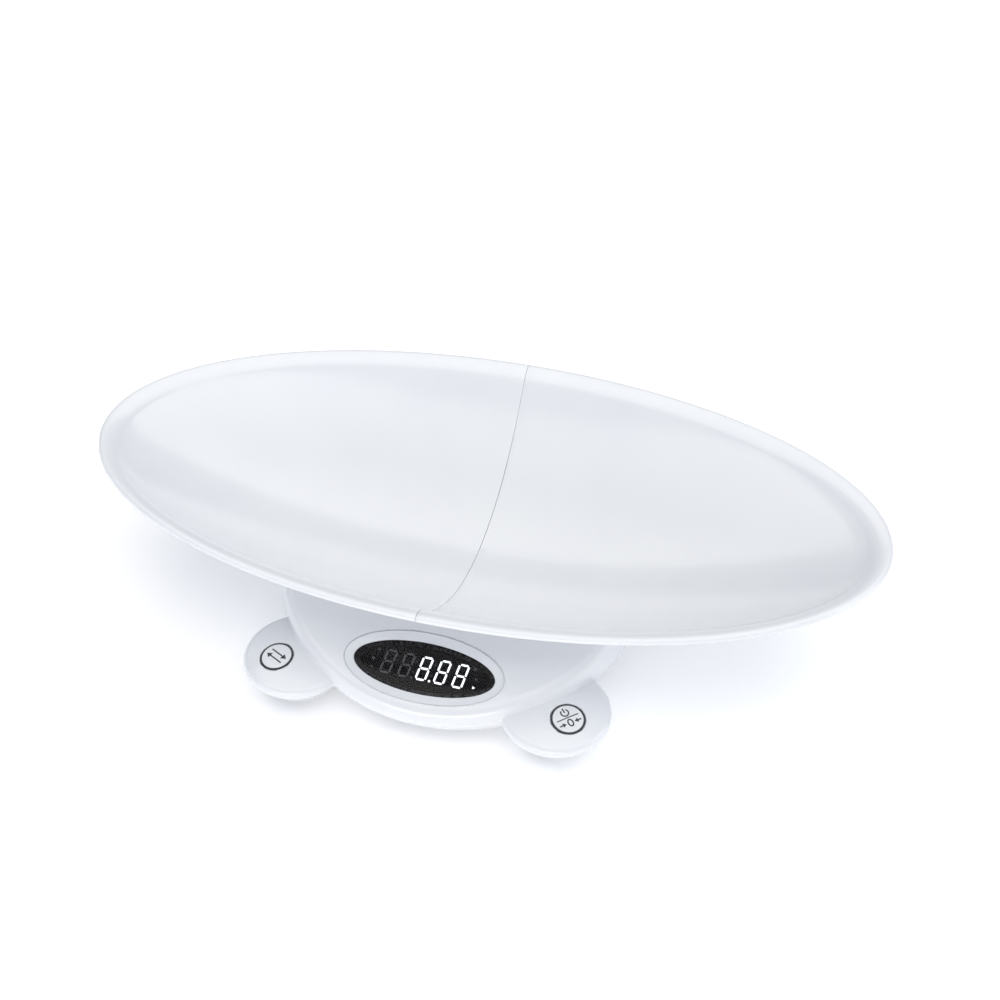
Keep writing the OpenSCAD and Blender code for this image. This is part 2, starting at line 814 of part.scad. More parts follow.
module unit_button() color("white") button(-1);
module tare_button() color("white") button(1);
module unit_button_ring() color("black") button_ring(-1);
module tare_button_ring() color("black") button_ring(1);
module unit_switch() color("silver") switch(-1);
module tare_switch() color("silver") switch(1);
module unit_switch_plunger() color("black") switch_plunger(-1);
module tare_switch_plunger() color("black") switch_plunger(1);
module unit_switch_board() color("darkgreen") switch_board(-1);
module tare_switch_board() color("darkgreen") switch_board(1);

// ---- feet and load cells -------------------------------------------------------------------

// A steel plate cut round three sides of its middle tongue, which bears on the foot's stem
module load_cell(side, front)
    color("silver") at_corner(side, front, foot_reach)
        difference() {
            block([cell_w, cell_w, cell_t], cell_h);
            difference() {
                block([tongue_w + 2 * cell_slot, tongue_w + 2 * cell_slot, cell_t + 2],
                      cell_h - 1);
                translate([-cell_slot * 2, 0, 0])
                    block([tongue_w + 4 * cell_slot, tongue_w, cell_t + 4], cell_h - 2);
            }
        }

module foot(side, front)
    color("gainsboro") at_corner(side, front, foot_reach) {
        pin(foot_r, pad_t, foot_top);
        pin(stem_d / 2, foot_top - eps, cell_h);
    }

module foot_pad(side, front)
    color("dimgray") at_corner(side, front, foot_reach) pin(foot_r - pad_inset, 0, pad_t);

module front_left_load_cell() load_cell(-1, 1);
module front_right_load_cell() load_cell(1, 1);
module back_left_load_cell() load_cell(-1, -1);
module back_right_load_cell() load_cell(1, -1);
module front_left_foot() foot(-1, 1);
module front_right_foot() foot(1, 1);
module back_left_foot() foot(-1, -1);
module back_right_foot() foot(1, -1);
module front_left_foot_pad() foot_pad(-1, 1);
module front_right_foot_pad() foot_pad(1, 1);
module back_left_foot_pad() foot_pad(-1, -1);
module back_right_foot_pad() foot_pad(1, -1);

// ---- electronics ---------------------------------------------------------------------------

module main_board()
    color("darkgreen") translate([0, main_y, 0])
        difference() {
            block([main_l, main_w, board_t], main_h);
            for (x = [-main_post_x, main_post_x]) for (y = [-main_post_y, main_post_y])
                translate([x, y, 0])
                    pin(small_screw_r + small_gap, main_h - over, main_h + board_t + over);
        }

module main_chip()
    color("black") translate([0, main_y, 0]) block([chip_w, chip_w, chip_t], main_h + board_t);

module board_connectors()
    color("ivory") translate([0, main_y, main_h + board_t]) {
        for (side = [-1, 1])
            translate([side * (main_l / 2 - plug_in), 0, 0]) block([plug_w, side_plug_l, plug_h], 0);
        translate([0, plug_in - main_w / 2, 0]) block([display_plug_l, plug_w, plug_h], 0);
        translate([0, main_w / 2 - plug_in, 0]) block([battery_plug_l, plug_w, plug_h], 0);
    }

function battery_y(i) = bay_y + (i - (battery_count - 1) / 2) * battery_pitch;
function battery_way(i) = i % 2 == 0 ? 1 : -1;
battery_x = spring_l / 2;

module battery(i)
    color("goldenrod") translate([battery_way(i) * battery_x, battery_y(i), battery_z])
        rotate([0, battery_way(i) * 90, 0]) {
            pin(battery_d / 2, -battery_l / 2, battery_l / 2 - nub_t);
            pin(nub_r, battery_l / 2 - nub_t - eps, battery_l / 2);
        }

module battery_1() battery(0);
module battery_2() battery(1);
module battery_3() battery(2);
module battery_4() battery(3);

module battery_springs()
    color("silver")
        for (i = [0 : battery_count - 1])
            translate([-battery_way(i) * (bay_l / 2 - plate_t), battery_y(i), battery_z])
                rotate([0, battery_way(i) * 90, 0])
                    cylinder(r1 = spring_foot_r, r2 = spring_tip_r, h = spring_l);

module battery_plates()
    color("silver")
        for (i = [0 : battery_count - 1]) for (end = [-1, 1])
            translate([end * (bay_l - plate_t) / 2, battery_y(i), battery_z])
                cube([plate_t, plate_w, plate_w], center = true);

module housing_screws()
    color("silver") at_bosses() {
        pin(screw_head_r, head_seat, head_seat + screw_head_t);
        pin(screw_r, head_seat, head_seat + screw_l);
    }

// A small screw whose head bears on the face at z = 0 and whose shank runs up
module small_screw() {
    pin(small_head_r, -small_head_t, 0);
    pin(small_screw_r, -eps, small_screw_l);
}

module board_screws()
    color("silver") {
        for (x = [-main_post_x, main_post_x]) for (y = [-main_post_y, main_post_y])
            translate([x, main_y + y, main_h + board_t]) mirror([0, 0, 1]) small_screw();
        for (side = [-1, 1]) on_button(side) for (y = [-switch_post_y, switch_post_y])
            translate([0, y, switch_board_top - switch_board_t]) small_screw();
        on_fascia() for (x = [-display_post_x, display_post_x])
            for (y = [-display_post_y, display_post_y])
                translate([x, y, module_low - board_t]) small_screw();
    }

// ---- leads ---------------------------------------------------------------------------------

// Places that the leads run between: on a corner's diagonal, under the fascia, by a button
function corner_spot(side, front, reach, z) =
    [side * reach / sqrt(2), base_y - front * reach / sqrt(2), z];
function fascia_spot(x, y, z) =
    [x, base_y - window_fwd + y * cos(fascia_slope) - z * sin(fascia_slope),
     fascia_h + y * sin(fascia_slope) + z * cos(fascia_slope)];
function button_spot(side, x, z) =
    corner_spot(side, 1, pod_reach + x * cos(button_tilt) + z * sin(button_tilt),
                pod_ball_z - x * sin(button_tilt) + z * cos(button_tilt));

// The last run of a lead: up beside the main board and in to the plug on its side edge
function plug_run(side, y, z) =
    [[side * lead_rise_x, y, z], [side * lead_rise_x, y, plug_side], [side * lead_end_x, y, plug_side]];

module load_cell_leads()
    color("red")
        for (side = [-1, 1]) for (front = [-1, 1])
            lead(concat(
                [corner_spot(side, front, cell_edge, cell_h + cell_t / 2),
                 corner_spot(side, front, cell_edge - cell_bend, lead_z)],
                front > 0 ? [] : [[side * (lead_rise_x + 4 * lead_step),
                                   main_y + main_w / 2 + cell_bend / 2, lead_z]],
                plug_run(side, main_y - front * lead_step, lead_z)
            ), lead_r);

module button_leads()
    color("yellow")
        for (side = [-1, 1])
            lead(concat(
                [button_spot(side, -switch_board_w / 2 - lead_gap,
                             switch_board_top - switch_board_t / 2),
                 corner_spot(side, 1, cell_edge - button_bend, button_bend_z)],
                plug_run(side, main_y - 3 * lead_step, lead_z + lead_step)
            ), lead_r);

module display_ribbon()
    color("lightgray")
        for (i = [-4 : 4])
            lead([fascia_spot(i * ribbon_pitch, ribbon_drop, module_low - board_t - lead_gap),
                  fascia_spot(i * ribbon_pitch, ribbon_drop, module_low - board_t - ribbon_drop),
                  [i * ribbon_pitch, main_y - main_w / 2 + plug_in, plug_rest]], ribbon_r);

module battery_leads()
    color("crimson")
        for (side = [-1, 1])
            lead([[side * lead_step, bay_y - bay_w / 2 - bay_wall - lead_r - small_gap, battery_z],
                  [side * lead_step, main_y + main_w / 2 + 2 * lead_out, lead_z],
                  [side * lead_step, main_y + main_w / 2 + lead_out, plug_rest],
                  [side * lead_step, main_y + main_w / 2 - plug_in, plug_rest]], lead_r);

tray_left();
tray_right();
upper_housing();
lower_housing();
battery_door();
display_window();
display_module();
lit_segments();
unlit_segments();
display_board();
unit_button();
tare_button();
unit_button_ring();
tare_button_ring();
unit_switch();
tare_switch();
unit_switch_plunger();
tare_switch_plunger();
unit_switch_board();
tare_switch_board();
front_left_load_cell();
front_right_load_cell();
back_left_load_cell();
back_right_load_cell();
front_left_foot();
front_right_foot();
back_left_foot();
back_right_foot();
front_left_foot_pad();
front_right_foot_pad();
back_left_foot_pad();
back_right_foot_pad();
main_board();
main_chip();
board_connectors();
battery_1();
battery_2();
battery_3();
battery_4();
battery_springs();
battery_plates();
housing_screws();
board_screws();
load_cell_leads();
button_leads();
display_ribbon();
battery_leads();
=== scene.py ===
import math

import bmesh
import bpy
import numpy as np
from mathutils import Matrix, Vector


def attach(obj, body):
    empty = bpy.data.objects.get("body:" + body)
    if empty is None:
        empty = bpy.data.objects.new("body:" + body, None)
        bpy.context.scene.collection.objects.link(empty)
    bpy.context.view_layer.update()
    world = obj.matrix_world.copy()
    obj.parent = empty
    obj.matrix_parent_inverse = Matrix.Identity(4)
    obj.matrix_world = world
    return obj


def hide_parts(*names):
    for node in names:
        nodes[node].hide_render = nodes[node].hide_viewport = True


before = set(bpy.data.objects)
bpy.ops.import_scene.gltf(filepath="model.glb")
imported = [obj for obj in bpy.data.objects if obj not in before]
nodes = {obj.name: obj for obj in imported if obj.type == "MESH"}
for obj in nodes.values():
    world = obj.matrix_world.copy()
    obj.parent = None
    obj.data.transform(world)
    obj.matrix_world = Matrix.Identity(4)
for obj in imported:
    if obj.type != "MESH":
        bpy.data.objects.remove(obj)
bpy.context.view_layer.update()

# All lengths below are millimetres in the frame's axes; piece() turns them to metres.
MM = 0.001

# Tray, as in the part's source
TRAY_L, TRAY_W, RIM_H, BOWL_DEPTH, BOWL_SPAN = 600, 298, 103, 73, 1.5
TRAY_WALL, LIP_W, LIP_R, LIP_H, LIP_FALL, SEAM_GAP = 2.8, 17, 3, 3.4, 8, 0.4
BOWL_A, BOWL_B = TRAY_L / 2 - LIP_W, TRAY_W / 2 - LIP_W
BALL_H = (BOWL_DEPTH - LIP_FALL) / (1 - math.sqrt(1 - 1 / BOWL_SPAN**2))
POST_R, POST_SEAT = 8, 21
POSTS = [(44, -70), (44, 57), (99, -8)]

# Base, as in the part's source, but EDGE_W is 24 there: the photographed nose is a little fuller
BASE_R, BASE_FWD, BASE_GAP, EDGE_W, EDGE_H = 134, 43, 7, 21, 40
FASCIA_SLOPE, WINDOW_FWD, FASCIA_H, FASCIA_R, NOSE_R = math.radians(21), 95, 43, 140, 13
POD_REACH, POD_R, POD_H, POD_DOME_R, POD_EDGE_R = 134, 38.5, 36.5, 120, 5
POD_UNDER, PARTING_H, CRADLE_GAP, BASE_WALL = 53, 10.5, 2.5, 2.5
POD_SIDE = POD_REACH / math.sqrt(2)
TRAY_Y = (BASE_FWD + POD_SIDE + POD_R - TRAY_W / 2) / 2
BASE_Y = TRAY_Y - BASE_FWD

# Display and buttons, as in the part's source
WINDOW_A, WINDOW_B, WINDOW_T, MOAT_W, MOAT_DEPTH = 51, 18.75, 2, 5.7, 1.3
BUTTON_OUT, BUTTON_R, RING_W, RING_T, BUTTON_GAP = 15.6, 11.85, 1.3, 0.8, 0.3
ROOF_LOW = POD_DOME_R - BASE_WALL

# The shell's surface is found on a grid of cells and drawn onto the form
CELL, SLOPE_STEP, SLOPE_LOW, DRAWN_MAX = 1.1, 0.05, 0.05, 0.75
# Where the shell is cut open round the moat, and how near the fascia's plane the cut's edge lies
COLLAR_W, CUT_SPARE, CUT_DEEP, RIM_NEAR = 1.2, 0.9, 1.2, 0.6
# Roundings where the base's forms flow together
BODY_BLEND, POD_BLEND, CRADLE_BLEND, WELL_BLEND, EDGE_BLEND = 9, 2, 4, 0.8, 0.5
# Printing on the buttons: line width, arrow head's half width, length that follows the dome
LINE, HEAD_W, PRINT_RUN, PRINT_UP, PRINT_DOWN = 1.0, 0.62, 1.2, 0.06, -0.05
BODY = {-1: "unit_button", 1: "tare_button"}


# ---- materials ---------------------------------------------------------------------------------


def srgb(text):
    """Linear RGBA of an sRGB hex colour."""
    parts = [int(text[i : i + 2], 16) / 255 for i in (1, 3, 5)]
    return [c / 12.92 if c <= 0.04045 else ((c + 0.055) / 1.055) ** 2.4 for c in parts] + [1.0]


def add(tree, kind, settings=None, **links):
    """Adds a node, sets its properties or inputs, and links outputs to its inputs."""
    made = tree.nodes.new(kind)
    for key, value in (settings or {}).items():
        if key in made.inputs:
            made.inputs[key].default_value = value
        else:
            setattr(made, key, value)
    for key, source in links.items():
        name = key.replace("_", " ")
        tree.links.new(source, made.inputs[int(name[1:]) if name[1:].isdigit() else name])
    return made


def finish_of(name, **shader):
    """A new material, its tree and its shader, with the shader's own constant inputs set."""
    made = bpy.data.materials.new(name)
    made.use_nodes = True
    tree = made.node_tree
    tree.nodes.clear()
    own = {key.replace("_", " "): value for key, value in shader.items()}
    surface = add(tree, "ShaderNodeBsdfPrincipled", own)
    add(tree, "ShaderNodeOutputMaterial", Surface=surface.outputs["BSDF"])
    return made, tree, surface


def ramp(node, *stops):
    """Sets the places and colours of a colour ramp's two stops."""
    for stop, (place, colour) in zip(node.color_ramp.elements, stops):
        stop.position, stop.color = place, srgb(colour)


def mottle(tree, surface, low, high, size_mm, rough=None, bump_um=0, bump_mm=1.0):
    """Colour that wanders between two tones, gloss that wanders with it, and a fine relief."""
    place = add(tree, "ShaderNodeTexCoord").outputs["Object"]
    cloud = add(
        tree, "ShaderNodeTexNoise", {"Scale": 1 / (size_mm * MM), "Detail": 3.0}, Vector=place
    )
    tint = add(tree, "ShaderNodeValToRGB", Fac=cloud.outputs["Fac"])
    ramp(tint, (0.35, low), (0.65, high))
    tree.links.new(tint.outputs["Color"], surface.inputs["Base Color"])
    if rough:
        gloss = add(
            tree, "ShaderNodeMapRange", {"To Min": rough[0], "To Max": rough[1]},
            Value=cloud.outputs["Fac"],
        )
        tree.links.new(gloss.outputs["Result"], surface.inputs["Roughness"])
    if bump_um:
        grain = add(
            tree, "ShaderNodeTexNoise", {"Scale": 1 / (bump_mm * MM), "Detail": 2.0}, Vector=place
        )
        relief = add(
            tree, "ShaderNodeBump", {"Strength": 1.0, "Distance": bump_um * 1e-6},
            Height=grain.outputs["Fac"],
        )
        tree.links.new(relief.outputs["Normal"], surface.inputs["Normal"])


def glossy_abs(name, low, high, rough=(0.2, 0.23)):
    """Injection-moulded ABS from a polished mould: a clean gloss with a trace of orange peel."""
    made, tree, surface = finish_of(name, IOR=1.53, Coat_Weight=0.15, Coat_Roughness=0.08)
    mottle(tree, surface, low, high, 60, rough, bump_um=2, bump_mm=9)
    return made


def window_acrylic():
    """Smoke-tinted acrylic, polished: nearly black, mirror-smooth, lets the lit bars through."""
    made, tree, surface = finish_of(
        "smoked_acrylic", IOR=1.49, Roughness=0.06, Alpha=0.62, Specular_IOR_Level=0.25
    )
    mottle(tree, surface, "#0d0c0c", "#141212", 30)
    return made


def lit_bars():
    """Milk-white diffusers over LEDs, switched on: an even cold white glow."""
    made, tree, surface = finish_of("lit_diffuser", Roughness=0.5, Emission_Strength=13.0)
    mottle(tree, surface, "#f4f8ff", "#ffffff", 8)
    surface.inputs["Emission Color"].default_value = srgb("#f2f7ff")
    return made


def unlit_bars_painted_glow():
    """The same diffusers switched off: dark grey, with a painted glow, a faint grey emission that
    shows them just lighter than the black round them.
    """
    # Painted glow: the switched-off bars are no lamp, yet a faint grey emission lights them
    made, tree, surface = finish_of("unlit_diffuser_painted_glow", Roughness=0.6, Emission_Strength=3.2)
    mottle(tree, surface, "#5c5c60", "#66666a", 8)
    surface.inputs["Emission Color"].default_value = srgb("#6c6c72")
    return made


def moulded(name, low, high, rough, bump_um=12, bump_mm=1.5, ior=1.53):
    """Plastic from a spark-eroded mould: a fine even grain that breaks up the highlight."""
    made, tree, surface = finish_of(name, IOR=ior)
    mottle(tree, surface, low, high, 12, rough, bump_um, bump_mm)
    return made


def moulded_rubber():
    """Compression-moulded rubber: dark, dull, with a dusty bloom and a coarse grain."""
    made, tree, surface = finish_of("moulded_rubber", IOR=1.52, Sheen_Weight=0.15)
    mottle(tree, surface, "#2a2a2c", "#3a3a3c", 5, (0.7, 0.9), bump_um=40, bump_mm=0.9)
    return made


def rolled_steel(name, low, high, rough):
    """Cold-rolled or plated steel: fine lines from the rolls stretch the highlight."""
    made, tree, surface = finish_of(name, Metallic=1.0)
    mottle(tree, surface, low, high, 9, rough)
    place = add(tree, "ShaderNodeTexCoord").outputs["Object"]
    # The rolls' lines are 0.02 mm apart; they are drawn 0.6 mm apart to show
    along = add(tree, "ShaderNodeMapping", {"Scale": (80, 1600, 1600)}, Vector=place)
    lines = add(
        tree, "ShaderNodeTexNoise", {"Scale": 1.0, "Detail": 2.0}, Vector=along.outputs["Vector"]
    )
    relief = add(tree, "ShaderNodeBump", {"Distance": 4e-6}, Height=lines.outputs["Fac"])
    tree.links.new(relief.outputs["Normal"], surface.inputs["Normal"])
    return made


def solder_mask():
    """Fibreglass board under green solder mask: the copper tracks show as lighter bands."""
    made, tree, surface = finish_of("solder_mask", IOR=1.5, Roughness=0.35, Coat_Weight=0.3)
    place = add(tree, "ShaderNodeTexCoord").outputs["Object"]
    # Tracks about 0.8 mm apart in bundles
    tracks = add(
        tree, "ShaderNodeTexVoronoi", {"Scale": 1 / (3.2 * MM), "distance": "CHEBYCHEV"},
        Vector=place,
    )
    tint = add(tree, "ShaderNodeValToRGB", Fac=tracks.outputs["Distance"])
    ramp(tint, (0.28, "#0f4a26"), (0.34, "#1d6a3a"))
    tree.links.new(tint.outputs["Color"], surface.inputs["Base Color"])
    return made


def pvc_sleeve(name, low, high):
    """Extruded PVC round a wire: smooth, a little waxy, slightly uneven in colour."""
    made, tree, surface = finish_of(name, IOR=1.54)
    mottle(tree, surface, low, high, 6, (0.35, 0.45))
    return made


def cell_sleeve():
    """Shrunk foil sleeve of a dry cell: dark grey, half metallic, with a soft uneven gloss."""
    made, tree, surface = finish_of("cell_sleeve", Metallic=0.6, Roughness=0.3)
    mottle(tree, surface, "#3a4048", "#464d56", 10, (0.26, 0.34))
    return made


housing_abs = glossy_abs("white_abs_housing", "#e3e5e9", "#e5e7ea")
tray_abs = glossy_abs("white_abs_tray", "#e5e7eb", "#e7e9ec")
button_abs = glossy_abs("white_abs_button", "#e4e6e9", "#e6e8ea")
ring_ink = moulded("dark_inlay", "#26292d", "#2f3338", (0.3, 0.4), bump_um=2)
print_ink = moulded("pad_print_ink", "#2a2d31", "#34373c", (0.45, 0.55), bump_um=2)
smoke = window_acrylic()
black_print = moulded("black_screen_print", "#0c0b0c", "#111011", (0.5, 0.6), bump_um=1)
glow, off_bar_painted_glow = lit_bars(), unlit_bars_painted_glow()
matt_black = moulded("matt_black_abs", "#101012", "#161618", (0.6, 0.7), bump_um=1)
steel = rolled_steel("rolled_steel", "#a9abaf", "#c2c4c7", (0.28, 0.4))
spring_steel = rolled_steel("nickel_plated_spring", "#b8b5ad", "#cfccc4", (0.2, 0.3))
board = solder_mask()
epoxy = moulded("chip_epoxy", "#151516", "#1d1d1f", (0.55, 0.65), bump_um=8, bump_mm=0.6)
nylon = moulded("connector_nylon", "#e4dfcd", "#ece8d8", (0.4, 0.5))
black_nylon = moulded("switch_nylon", "#1a1a1c", "#222225", (0.45, 0.55))
foot_abs = moulded("foot_abs", "#d9dbde", "#e2e4e6", (0.4, 0.5))
rubber = moulded_rubber()
red_pvc = pvc_sleeve("red_pvc", "#a31420", "#b61b28")
yellow_pvc = pvc_sleeve("yellow_pvc", "#c79b1c", "#d6ab2a")
grey_pvc = pvc_sleeve("grey_pvc", "#9a9a9e", "#a8a8ac")
cell = cell_sleeve()

NODE_FINISH = {
    "lower_housing": housing_abs, "battery_door": housing_abs,
    "display_module": matt_black, "display_board": board, "main_board": board,
    "unit_switch_board": board, "tare_switch_board": board,
    "lit_segments": glow, "unlit_segments": off_bar_painted_glow,
    "unit_switch": black_nylon, "tare_switch": black_nylon,
    "unit_switch_plunger": black_nylon, "tare_switch_plunger": black_nylon,
    "main_chip": epoxy, "board_connectors": nylon,
    "battery_springs": spring_steel, "battery_plates": spring_steel,
    "housing_screws": steel, "board_screws": steel,
    "load_cell_leads": red_pvc, "battery_leads": red_pvc,
    "button_leads": yellow_pvc, "display_ribbon": grey_pvc,
}
for corner in ("front_left", "front_right", "back_left", "back_right"):
    NODE_FINISH[corner + "_load_cell"] = steel
    NODE_FINISH[corner + "_foot"] = foot_abs
    NODE_FINISH[corner + "_foot_pad"] = rubber
for number in (1, 2, 3, 4):
    NODE_FINISH["battery_%d" % number] = cell


def dress(obj, material):
    """Puts a material in each of an object's slots; a new mesh has none yet and gets its first."""
    if not obj.material_slots:
        obj.data.materials.append(material)
    for slot in obj.material_slots:
        slot.material = material


for node_name, material in NODE_FINISH.items():
    dress(nodes[node_name], material)


# ---- mesh helpers ------------------------------------------------------------------------------


def piece(name, points, faces, material, body, stands_for=(), normals=None):
    """A new mesh piece from points in millimetres."""
    mesh = bpy.data.meshes.new(name)
    mesh.from_pydata((np.asarray(points, float) * MM).tolist(), [], faces)
    mesh.validate()
    mesh.shade_smooth()
    if normals is not None:
        mesh.normals_split_custom_set_from_vertices(normals.tolist())
    obj = bpy.data.objects.new(name, mesh)
    bpy.context.scene.collection.objects.link(obj)
    dress(obj, material)
    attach(obj, body)
    if stands_for:
        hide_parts(*stands_for)
    return obj


def rounded(obj, width_mm, segments, angle):
    """Rounds the edges that are sharper than an angle, as a mould's edge is."""
    bevel = obj.modifiers.new("rounded", "BEVEL")
    bevel.width = width_mm * MM
    bevel.segments = segments
    bevel.limit_method = "ANGLE"
    bevel.angle_limit = math.radians(angle)
    bevel.harden_normals = False
    return obj


def lathe(profile, steps):
    """Points and faces of a closed turned form: profile is (radius, height) from axis to axis."""
    points = [(0, 0, profile[0][1])]
    rows = profile[1:-1]
    for radius, height in rows:
        for k in range(steps):
            a = 2 * math.pi * k / steps
            points.append((radius * math.cos(a), radius * math.sin(a), height))
    points.append((0, 0, profile[-1][1]))
    last = len(points) - 1
    faces = [(0, 1 + k, 1 + (k + 1) % steps) for k in range(steps)]
    for i in range(len(rows) - 1):
        a, b = 1 + i * steps, 1 + (i + 1) * steps
        faces += [
            (a + k, b + k, b + (k + 1) % steps, a + (k + 1) % steps) for k in range(steps)
        ]
    a = 1 + (len(rows) - 1) * steps
    faces += [(last, a + (k + 1) % steps, a + k) for k in range(steps)]
    return points, faces


# ---- tray --------------------------------------------------------------------------------------


def bowl_rise(s):
    return BALL_H * (1 - math.sqrt(1 - (s / BOWL_SPAN) ** 2))


def tray_profile():
    """Top and underside of the tray's section, as (share of the bowl, outwards, height)."""
    top, under = [], []
    for i in range(0, 33):
        s = i / 32
        steep = BALL_H * s / BOWL_SPAN**2 / math.sqrt(1 - (s / BOWL_SPAN) ** 2) / BOWL_B
        z = RIM_H - BOWL_DEPTH + bowl_rise(s)
        top.append((s, 0, z))
        under.append((s, 0, z - TRAY_WALL * math.hypot(1, steep)))
    mid = LIP_W - LIP_R
    for i in range(1, 13):
        f = i / 12
        z, steep = RIM_H - LIP_FALL * (1 - f) ** 2, 2 * LIP_FALL * (1 - f) / mid
        top.append((1, f * mid, z))
        under.append((1, f * mid, z - TRAY_WALL * math.hypot(1, steep)))
    for i in range(1, 9):
        a = math.radians(90 * i / 8)
        top.append((1, mid + LIP_R * math.sin(a), RIM_H - LIP_R + LIP_R * math.cos(a)))
        inner = LIP_R - TRAY_WALL
        under.append((1, mid + inner * math.sin(a), RIM_H - LIP_R + inner * math.cos(a)))
    # The edge's rounded foot
    foot = []
    for a in (math.radians(0), math.radians(30), math.radians(60), math.radians(90)):
        foot.append((1, LIP_W - 0.15 - 0.9 * (1 - math.cos(a)),
                     RIM_H - LIP_H + 0.55 * (1 - math.sin(a))))
    return top + foot, under


def tray_half(side, name):
    """One half of the tray: skin on a half oval, cut face at the seam, and three posts."""
    top, under = tray_profile()
    rings = top + under[::-1]
    steps = 120
    cut = SEAM_GAP / 2
    points, faces = [], []
    for s, out, z in rings:
        for k in range(steps + 1):
            t = -math.pi / 2 + math.pi * k / steps
            a, b = BOWL_A * s + out, BOWL_B * s + out
            points.append((side * (cut + max(a - cut, 0) * math.cos(t)),
                           TRAY_Y + b * math.sin(t), z))
    row = steps + 1
    for i in range(len(rings) - 1):
        for k in range(steps):
            a, b = i * row + k, (i + 1) * row + k
            faces.append((a, a + 1, b + 1, b) if side > 0 else (a, b, b + 1, a + 1))
    # The cut face joins each top point with the underside point below it
    count = len(rings)
    pairs = min(len(top), len(under))
    for end in (0, steps):
        for i in range(pairs - 1):
            a, b = i * row + end, (i + 1) * row + end
            c, d = (count - 1 - i - 1) * row + end, (count - 1 - i) * row + end
            quad = (a, b, c, d) if (end == 0) == (side > 0) else (a, d, c, b)
            faces.append(quad)
        tail = [i * row + end for i in range(pairs - 1, count - pairs + 1)]
        if len(tail) > 2:
            faces.append(tail if (end == 0) == (side > 0) else tail[::-1])
    for px, py in POSTS:
        turned, more = lathe(
            [(0, POST_SEAT), (POST_R - 2.6, POST_SEAT), (POST_R - 0.5, POST_SEAT + 0.2),
             (POST_R, POST_SEAT + 0.8), (POST_R, RIM_H), (0, RIM_H)], 48
        )
        base = len(points)
        for x, y, z in turned:
            # The post ends inside the tray's wall, all round
            s = math.hypot((px + side * x) / BOWL_A, (py + y) / BOWL_B)
            z = min(z, RIM_H - BOWL_DEPTH + bowl_rise(s) - TRAY_WALL / 2)
            points.append((side * px + x, TRAY_Y + py + y, z))
        faces += [tuple(base + v for v in face) for face in more]
    body = "tray_" + ("right" if side > 0 else "left")
    made = piece(name, points, faces, tray_abs, body, [body])
    weld = made.modifiers.new("weld", "WELD")
    weld.merge_threshold = 0.00002
    rounded(made, 0.35, 2, 55)
    return made


# ---- base --------------------------------------------------------------------------------------


def soft_min(a, b, r):
    h = np.maximum(r - np.abs(a - b), 0) / r
    return np.minimum(a, b) - h * h * r / 4


def soft_max(a, b, r):
    return -soft_min(-a, -b, r)


def oval_distance(x, y, a, b):
    """Distance to an oval, exact at its edge."""
    q = np.hypot(x / a, y / b)
    g = np.hypot(x / a**2, y / b**2)
    return (q - 1) * q / np.maximum(g, 1e-6)


def on_fascia(x, y, z):
    """The same place in the fascia's own axes: origin at the window's centre, z out of it."""
    dy, dz = y - (BASE_Y - WINDOW_FWD), z - FASCIA_H
    c, s = math.cos(FASCIA_SLOPE), math.sin(FASCIA_SLOPE)
    return x, dy * c + dz * s, dz * c - dy * s


def body_distance(x, y, z):
    """The base's outer form: round body under fascia and cradle, flowing into its four pods."""
    ry = y - BASE_Y
    rho = np.hypot(x, ry)
    mid, top = BASE_R - EDGE_W, BASE_GAP + EDGE_H
    edge = oval_distance(rho - mid, z - top, EDGE_W, EDGE_H)
    drum = np.where(z > top, rho - BASE_R, np.where(rho < mid, BASE_GAP - z, edge))
    fx, fy, fz = on_fascia(x, y, z)
    a = np.hypot(fx, fy - WINDOW_FWD / math.cos(FASCIA_SLOPE)) - (FASCIA_R - NOSE_R)
    b = fz + NOSE_R
    disc = np.hypot(np.maximum(a, 0), np.maximum(b, 0)) + np.minimum(np.maximum(a, b), 0) - NOSE_R
    body = soft_max(drum, disc, BODY_BLEND)
    # Pod: the four are alike, so one is measured in folded axes
    pr = np.hypot(np.abs(x) - POD_SIDE, np.abs(ry) - POD_SIDE)
    ball_z, tube_r = POD_H - POD_DOME_R, POD_R - POD_EDGE_R
    tube_z = ball_z + math.sqrt((POD_DOME_R - POD_EDGE_R) ** 2 - tube_r**2)
    turn, last = math.asin(tube_r / (POD_DOME_R - POD_EDGE_R)), math.radians(180 - POD_UNDER)
    angle = np.arctan2(pr - tube_r, z - tube_z)
    dome = np.hypot(pr, z - ball_z) - POD_DOME_R
    cone = (pr - tube_r) * math.sin(last) + (z - tube_z) * math.cos(last) - POD_EDGE_R
    tube = np.hypot(pr - tube_r, z - tube_z) - POD_EDGE_R
    pod = np.where((angle > turn) & (angle < last), tube, np.maximum(dome, cone))
    pod = np.maximum(pod, BASE_GAP - z)
    return soft_min(body, pod, POD_BLEND)


def belly_distance(x, y, z, grow):
    """The ring that hugs the tray's underside, as in the part's source."""
    def arc_r(reach, rise):
        return (reach**2 + rise**2) / (2 * rise)

    along = arc_r(BASE_R, bowl_rise(BASE_R / BOWL_A))
    across = arc_r(100, bowl_rise(100 / BOWL_B))
    rho = np.hypot(x, z - (RIM_H - BOWL_DEPTH + along)) - (along - across)
    return np.hypot(rho, y - TRAY_Y) - (across + grow)


def button_axes(side):
    """Centre of a pod's dome and the button's axis out of it."""
    tilt = math.asin(BUTTON_OUT / POD_DOME_R)
    centre = np.array([side * POD_SIDE, BASE_Y - POD_SIDE, POD_H - POD_DOME_R])
    out = math.sin(tilt) / math.sqrt(2)
    way = np.array([side * out, -out, math.cos(tilt)])
    return centre, way


